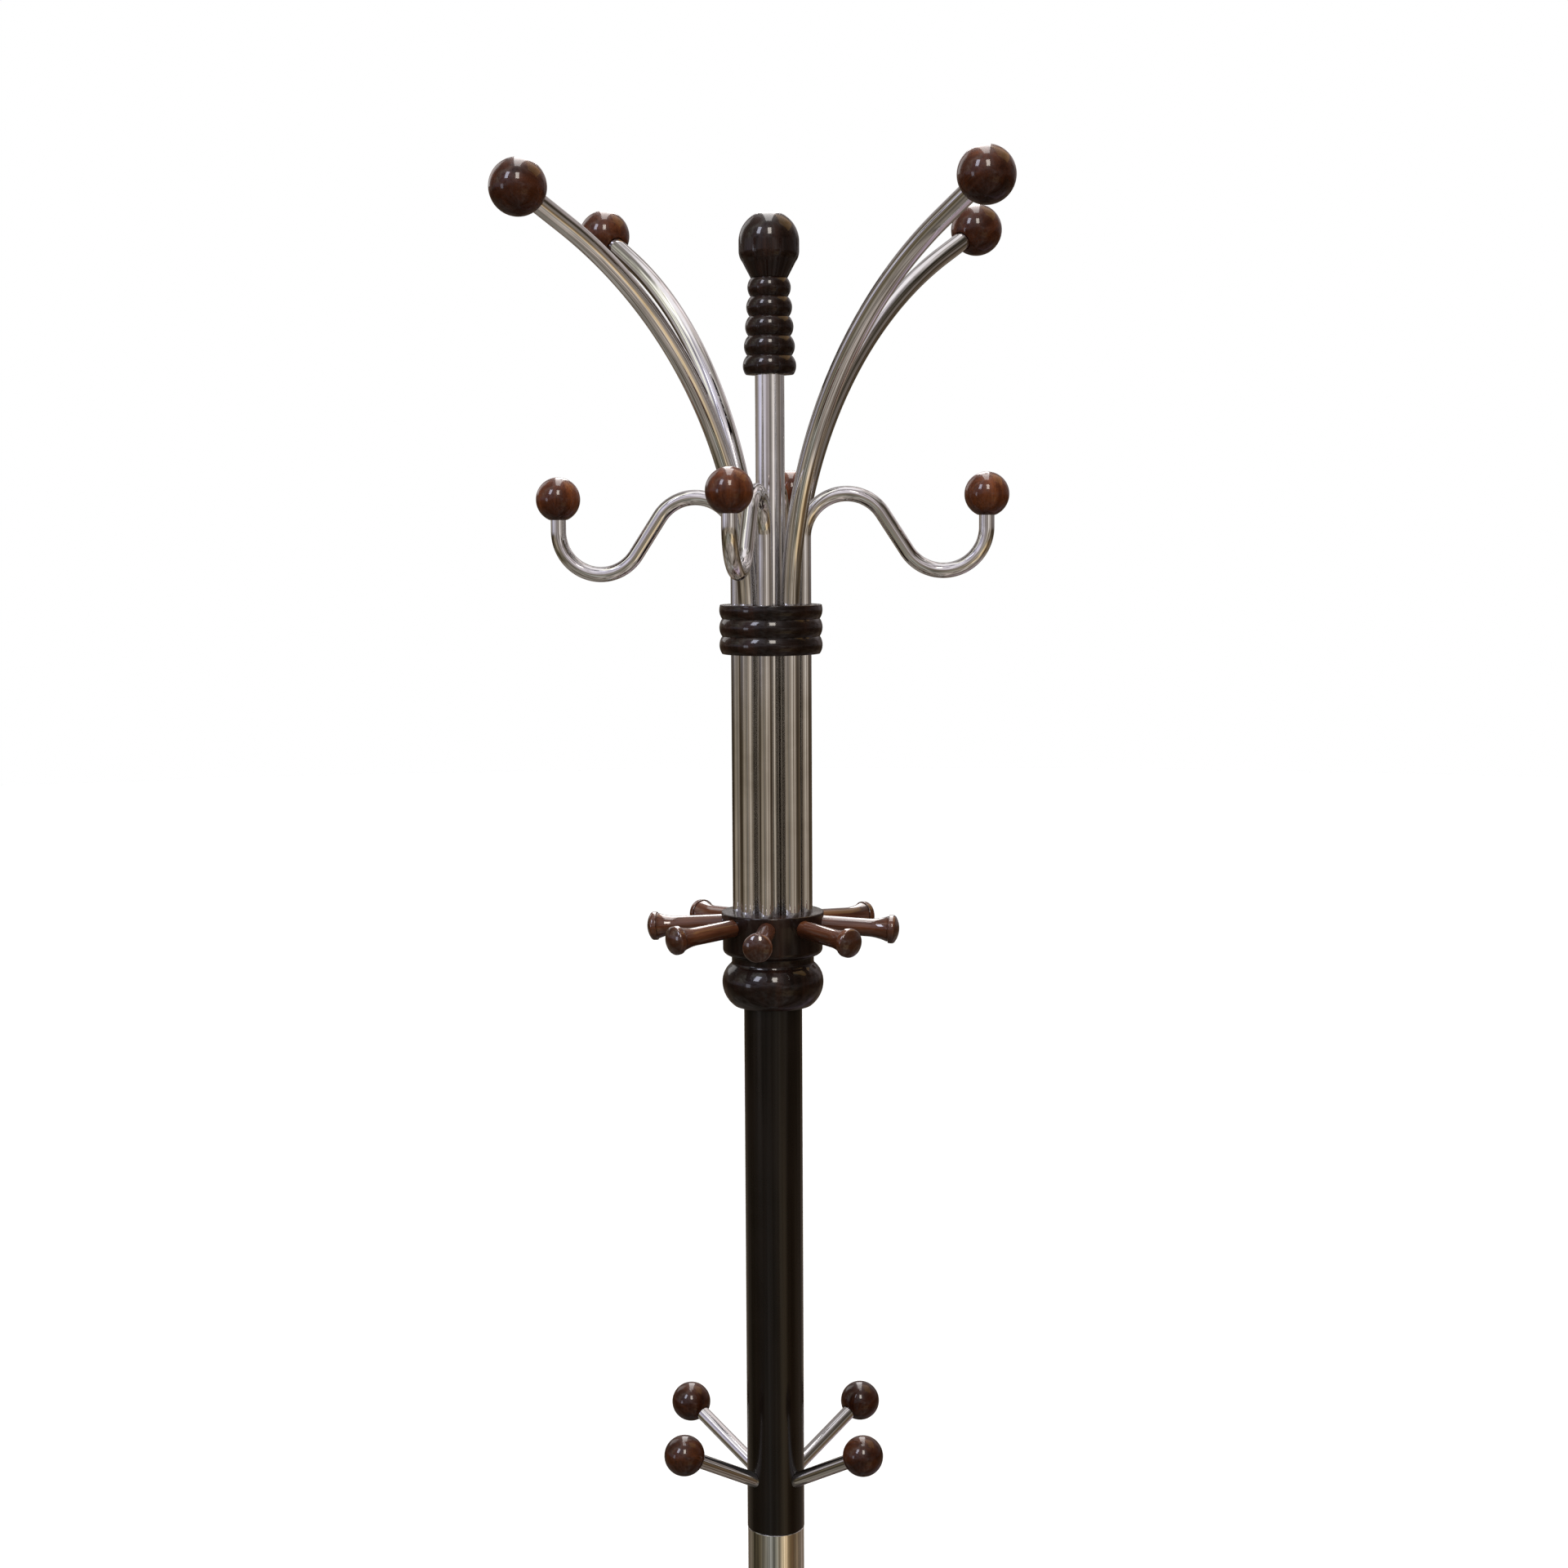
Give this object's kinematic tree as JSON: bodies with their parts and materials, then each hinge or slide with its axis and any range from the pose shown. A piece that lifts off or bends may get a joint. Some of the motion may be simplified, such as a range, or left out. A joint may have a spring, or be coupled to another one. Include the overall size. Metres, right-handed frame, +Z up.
{
  "type": "standing coat rack",
  "caption": "Standing coat rack: chromed column on a round stone base, curved arms and S hooks with wooden balls, a hub of wooden pegs, low hooks and a ribbed acorn finial.",
  "frame": {"origin": "on the column's axis, at the floor", "axes": "+Z up the column; -Y is the front, the side seen in the picture; +X is the viewer's right"},
  "size_m": [0.38, 0.38, 1.8021],
  "materials": {
    "chrome": "polished",
    "dark_wood": "dark stained wood under gloss lacquer",
    "ball_wood": "red-brown stained wood under gloss lacquer",
    "peg_wood": "mid red-brown stained wood under gloss lacquer",
    "dark_lacquer": "dark brown gloss lacquer",
    "steel": "plain turned steel",
    "stone": "polished black stone",
    "rubber": "matt"
  },
  "bodies": {
    "root": {"base_disc": "stone", "rubber_feet": "rubber", "base_bolt": "steel", "base_washer": "steel", "foot_plug": "steel", "base_flange": "chrome", "foot_collar": "dark_wood", "lower_pole": "chrome", "pole_joiner": "steel", "upper_pole": "dark_lacquer", "pole_top_plug": "steel", "hub_stud": "steel", "peg_hub": "dark_wood", "low_hook_1": "chrome", "low_hook_2": "chrome", "low_hook_3": "chrome", "low_hook_4": "chrome", "low_hook_ball_1": "ball_wood", "low_hook_ball_2": "ball_wood", "low_hook_ball_3": "ball_wood", "low_hook_ball_4": "ball_wood", "peg_1": "peg_wood", "peg_2": "peg_wood", "peg_3": "peg_wood", "peg_4": "peg_wood", "peg_5": "peg_wood", "peg_6": "peg_wood", "peg_7": "peg_wood", "peg_8": "peg_wood", "centre_pole": "chrome", "centre_pole_plug": "steel", "upper_collar": "dark_wood", "s_hook_1": "chrome", "s_hook_2": "chrome", "s_hook_3": "chrome", "s_hook_4": "chrome", "s_hook_ball_1": "ball_wood", "s_hook_ball_2": "ball_wood", "s_hook_ball_3": "ball_wood", "s_hook_ball_4": "ball_wood", "arm_1": "chrome", "arm_2": "chrome", "arm_3": "chrome", "arm_4": "chrome", "arm_ball_1": "ball_wood", "arm_ball_2": "ball_wood", "arm_ball_3": "ball_wood", "arm_ball_4": "ball_wood", "arm_ball_plugs": "steel", "finial_plug": "steel", "finial": "dark_wood"}
  },
  "joints": []
}
